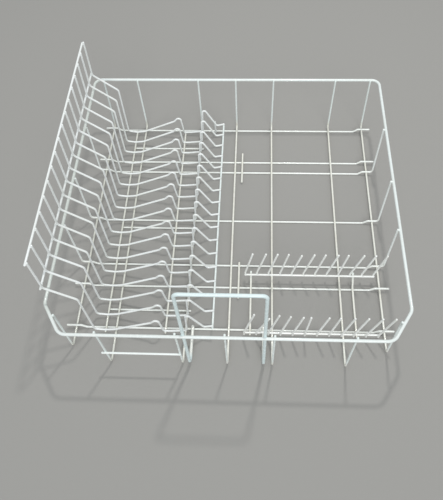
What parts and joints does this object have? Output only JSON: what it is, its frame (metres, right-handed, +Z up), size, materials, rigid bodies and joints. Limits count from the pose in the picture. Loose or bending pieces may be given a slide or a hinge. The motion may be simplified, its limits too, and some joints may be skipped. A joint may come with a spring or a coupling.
{
  "type": "dishwasher lower basket",
  "caption": "Welded basket of plastic-coated wire for the lower level of a dishwasher, with a bent-wire plate rack, two rows of prongs and a tall wire handle.",
  "frame": {"origin": "middle of the basket's footprint, at the level it stands on", "axes": "+X to the right as seen from the handle side, +Y to the back, away from the handle, +Z up"},
  "size_m": [0.55, 0.535, 0.2502],
  "materials": {
    "rim_coating": "glossy white plastic dip coating on steel wire, with a small bead at each cut end",
    "handle_coating": "glossy white plastic dip coating on steel wire, with a small bead at each cut end",
    "floor_coating": "glossy white plastic dip coating on steel wire, with a small bead at each cut end",
    "cross_coating": "glossy white plastic dip coating on steel wire, with a small bead at each cut end",
    "comb_coating": "glossy white plastic dip coating on steel wire, with a small bead at each cut end",
    "rack_coating": "glossy white plastic dip coating on steel wire, with a small bead at each cut end"
  },
  "bodies": {
    "root": {"rim": "rim_coating", "handle": "handle_coating", "long_wire_1": "floor_coating", "long_wire_2": "floor_coating", "long_wire_3": "floor_coating", "long_wire_4": "floor_coating", "long_wire_5": "floor_coating", "long_wire_6": "floor_coating", "long_wire_7": "floor_coating", "cross_wire_1": "cross_coating", "cross_wire_2": "cross_coating", "cross_wire_3": "cross_coating", "cross_wire_4": "cross_coating", "cross_wire_5": "cross_coating", "cross_wire_6": "cross_coating", "cross_wire_7": "cross_coating", "rack_bar_left": "floor_coating", "rack_bar_middle": "floor_coating", "rack_bar_right": "floor_coating", "rack_top_rail": "rack_coating", "rack_side_rail": "rack_coating", "rack_tie_back": "cross_coating", "rack_tie_middle": "cross_coating", "rack_tie_front": "cross_coating", "front_tie": "cross_coating", "rack_post": "rack_coating", "floor_stay_back": "floor_coating", "floor_stay_front": "floor_coating", "comb_bar_left": "floor_coating", "comb_bar_right": "floor_coating", "rear_comb": "comb_coating", "front_comb": "comb_coating", "rack_wire_1": "rack_coating", "rack_wire_2": "rack_coating", "rack_wire_3": "rack_coating", "rack_wire_4": "rack_coating", "rack_wire_5": "rack_coating", "rack_wire_6": "rack_coating", "rack_wire_7": "rack_coating", "rack_wire_8": "rack_coating", "rack_wire_9": "rack_coating", "rack_wire_10": "rack_coating", "rack_wire_11": "rack_coating", "rack_wire_12": "rack_coating", "rack_wire_13": "rack_coating", "rack_wire_14": "rack_coating", "rack_wire_15": "rack_coating", "rack_wire_16": "rack_coating", "rack_wire_17": "rack_coating"}
  },
  "joints": []
}
